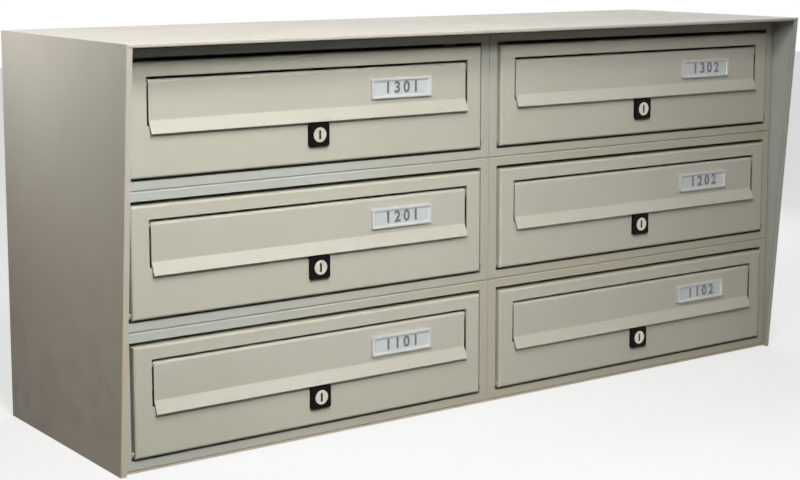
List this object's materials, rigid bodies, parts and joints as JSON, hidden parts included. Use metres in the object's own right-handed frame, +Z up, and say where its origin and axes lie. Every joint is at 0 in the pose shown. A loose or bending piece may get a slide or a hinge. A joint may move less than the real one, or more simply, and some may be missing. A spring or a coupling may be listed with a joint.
{
  "type": "letterbox bank",
  "caption": "Wall bank of lockable sheet-metal letterboxes in a casing with a rain hood; each door drops down and has a lift-up inlet flap, a name holder and a cylinder lock.",
  "frame": {"origin": "middle of the base, on the surface that the casing stands on, under the centre of the bounding box", "axes": "+X right seen from the front, +Y towards the wall, so the doors face -Y, +Z up"},
  "size_m": [0.746, 0.243, 0.344],
  "materials": {
    "casing_paint": "satin powder coat on sheet steel",
    "frame_paint": "satin powder coat on sheet steel",
    "door_paint": "satin powder coat on sheet steel",
    "flap_paint": "satin powder coat on aluminium",
    "holder_plastic": "glossy silver-white moulding",
    "lock_black": "black die-cast zinc",
    "lock_chrome": "nickel-plated plug",
    "zinc_steel": "bright zinc plate",
    "rubber": "matt"
  },
  "bodies": {
    "casing": {"roof_hood": "casing_paint", "left_side_panel": "casing_paint", "right_side_panel": "casing_paint", "base_panel": "casing_paint", "back_panel": "casing_paint", "front_frames": "frame_paint", "casing_fasteners": "zinc_steel", "box_joining_bolts": "zinc_steel", "hinge_lugs": "zinc_steel", "door_hinge_pins": "zinc_steel", "door_buffers": "rubber", "lock_catches": "zinc_steel", "box_body_1": "frame_paint", "box_body_2": "frame_paint", "box_body_3": "frame_paint", "box_body_4": "frame_paint", "box_body_5": "frame_paint", "box_body_6": "frame_paint"},
    "door_1_body": {"door_1": "door_paint", "flap_rod_1": "zinc_steel", "lock_case_1": "lock_black"},
    "flap_1_body": {"flap_1": "flap_paint", "name_holder_1": "holder_plastic"},
    "lock_1_body": {"lock_plug_1": "lock_chrome", "lock_cam_1": "zinc_steel"},
    "door_2_body": {"door_2": "door_paint", "flap_rod_2": "zinc_steel", "lock_case_2": "lock_black"},
    "flap_2_body": {"flap_2": "flap_paint", "name_holder_2": "holder_plastic"},
    "lock_2_body": {"lock_plug_2": "lock_chrome", "lock_cam_2": "zinc_steel"},
    "door_3_body": {"door_3": "door_paint", "flap_rod_3": "zinc_steel", "lock_case_3": "lock_black"},
    "flap_3_body": {"flap_3": "flap_paint", "name_holder_3": "holder_plastic"},
    "lock_3_body": {"lock_plug_3": "lock_chrome", "lock_cam_3": "zinc_steel"},
    "door_4_body": {"door_4": "door_paint", "flap_rod_4": "zinc_steel", "lock_case_4": "lock_black"},
    "flap_4_body": {"flap_4": "flap_paint", "name_holder_4": "holder_plastic"},
    "lock_4_body": {"lock_plug_4": "lock_chrome", "lock_cam_4": "zinc_steel"},
    "door_5_body": {"door_5": "door_paint", "flap_rod_5": "zinc_steel", "lock_case_5": "lock_black"},
    "flap_5_body": {"flap_5": "flap_paint", "name_holder_5": "holder_plastic"},
    "lock_5_body": {"lock_plug_5": "lock_chrome", "lock_cam_5": "zinc_steel"},
    "door_6_body": {"door_6": "door_paint", "flap_rod_6": "zinc_steel", "lock_case_6": "lock_black"},
    "flap_6_body": {"flap_6": "flap_paint", "name_holder_6": "holder_plastic"},
    "lock_6_body": {"lock_plug_6": "lock_chrome", "lock_cam_6": "zinc_steel"}
  },
  "joints": [
    {"name": "door_1_hinge", "type": "hinge", "parent": "casing", "child": "door_1_body", "pos_m": [-0.185, -0.089, 0.24075], "axis": [1, 0, 0], "range_deg": [0, 90]},
    {"name": "flap_1_hinge", "type": "hinge", "parent": "door_1_body", "child": "flap_1_body", "pos_m": [-0.185, -0.08934, 0.31119], "axis": [-1, 0, 0], "range_deg": [0, 75]},
    {"name": "lock_1_turn", "type": "hinge", "parent": "door_1_body", "child": "lock_1_body", "pos_m": [-0.185, -0.093, 0.26075], "axis": [0, -1, 0], "range_deg": [0, 90]},
    {"name": "door_2_hinge", "type": "hinge", "parent": "casing", "child": "door_2_body", "pos_m": [0.185, -0.089, 0.24075], "axis": [1, 0, 0], "range_deg": [0, 90]},
    {"name": "flap_2_hinge", "type": "hinge", "parent": "door_2_body", "child": "flap_2_body", "pos_m": [0.185, -0.08934, 0.31119], "axis": [-1, 0, 0], "range_deg": [0, 75]},
    {"name": "lock_2_turn", "type": "hinge", "parent": "door_2_body", "child": "lock_2_body", "pos_m": [0.185, -0.093, 0.26075], "axis": [0, -1, 0], "range_deg": [0, 90]},
    {"name": "door_3_hinge", "type": "hinge", "parent": "casing", "child": "door_3_body", "pos_m": [-0.185, -0.089, 0.12825], "axis": [1, 0, 0], "range_deg": [0, 90]},
    {"name": "flap_3_hinge", "type": "hinge", "parent": "door_3_body", "child": "flap_3_body", "pos_m": [-0.185, -0.08934, 0.19869], "axis": [-1, 0, 0], "range_deg": [0, 75]},
    {"name": "lock_3_turn", "type": "hinge", "parent": "door_3_body", "child": "lock_3_body", "pos_m": [-0.185, -0.093, 0.14825], "axis": [0, -1, 0], "range_deg": [0, 90]},
    {"name": "door_4_hinge", "type": "hinge", "parent": "casing", "child": "door_4_body", "pos_m": [0.185, -0.089, 0.12825], "axis": [1, 0, 0], "range_deg": [0, 90]},
    {"name": "flap_4_hinge", "type": "hinge", "parent": "door_4_body", "child": "flap_4_body", "pos_m": [0.185, -0.08934, 0.19869], "axis": [-1, 0, 0], "range_deg": [0, 75]},
    {"name": "lock_4_turn", "type": "hinge", "parent": "door_4_body", "child": "lock_4_body", "pos_m": [0.185, -0.093, 0.14825], "axis": [0, -1, 0], "range_deg": [0, 90]},
    {"name": "door_5_hinge", "type": "hinge", "parent": "casing", "child": "door_5_body", "pos_m": [-0.185, -0.089, 0.01575], "axis": [1, 0, 0], "range_deg": [0, 90]},
    {"name": "flap_5_hinge", "type": "hinge", "parent": "door_5_body", "child": "flap_5_body", "pos_m": [-0.185, -0.08934, 0.08619], "axis": [-1, 0, 0], "range_deg": [0, 75]},
    {"name": "lock_5_turn", "type": "hinge", "parent": "door_5_body", "child": "lock_5_body", "pos_m": [-0.185, -0.093, 0.03575], "axis": [0, -1, 0], "range_deg": [0, 90]},
    {"name": "door_6_hinge", "type": "hinge", "parent": "casing", "child": "door_6_body", "pos_m": [0.185, -0.089, 0.01575], "axis": [1, 0, 0], "range_deg": [0, 90]},
    {"name": "flap_6_hinge", "type": "hinge", "parent": "door_6_body", "child": "flap_6_body", "pos_m": [0.185, -0.08934, 0.08619], "axis": [-1, 0, 0], "range_deg": [0, 75]},
    {"name": "lock_6_turn", "type": "hinge", "parent": "door_6_body", "child": "lock_6_body", "pos_m": [0.185, -0.093, 0.03575], "axis": [0, -1, 0], "range_deg": [0, 90]}
  ]
}
